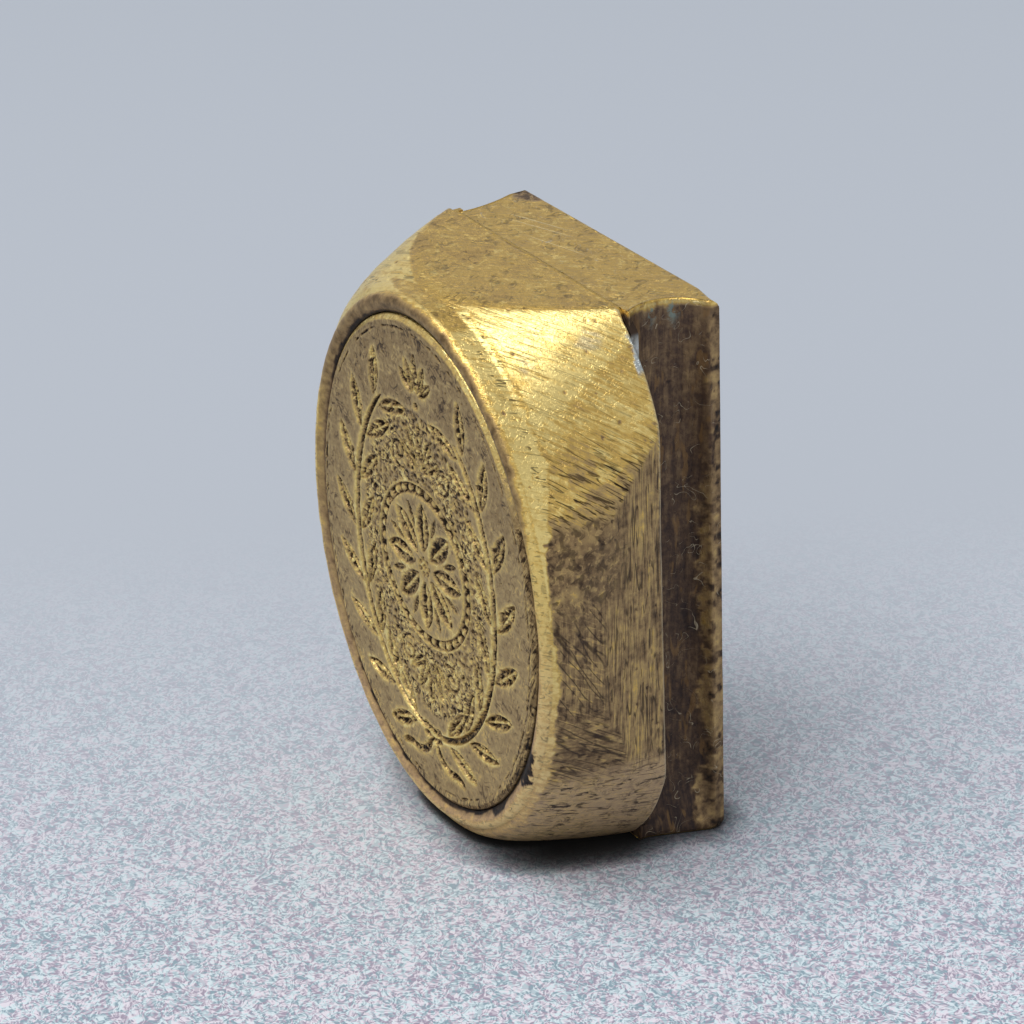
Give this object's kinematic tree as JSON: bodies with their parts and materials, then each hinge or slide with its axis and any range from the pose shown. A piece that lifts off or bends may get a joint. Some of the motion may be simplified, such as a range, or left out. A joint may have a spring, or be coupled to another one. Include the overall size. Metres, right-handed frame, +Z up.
{
  "type": "wax seal stamp",
  "caption": "Handle-less brass wax seal matrix: oval engraved face in a bezel, hand-filed flank, soldered rectangular back with coved sides; stands on its end.",
  "frame": {"origin": "middle of the bounding box, on the surface that the stamp stands on", "axes": "-Y out of the engraved seal face, +Y out of the flat back, +Z up along the stamp's height, +X towards the more heavily filed side"},
  "size_m": [0.0194, 0.0102, 0.025],
  "materials": {
    "head_brass": "filed and worn, bright on the upper facets, brown patina lower down",
    "die_brass": "grey-brown patina with bright engraved lines",
    "back_brass": "dark brown patina, worn bright at the lips",
    "solder": "dull grey solder"
  },
  "bodies": {
    "root": {"seal_head": "head_brass", "seal_die": "die_brass", "die_solder": "solder", "back_block": "back_brass", "back_solder": "solder"}
  },
  "joints": []
}
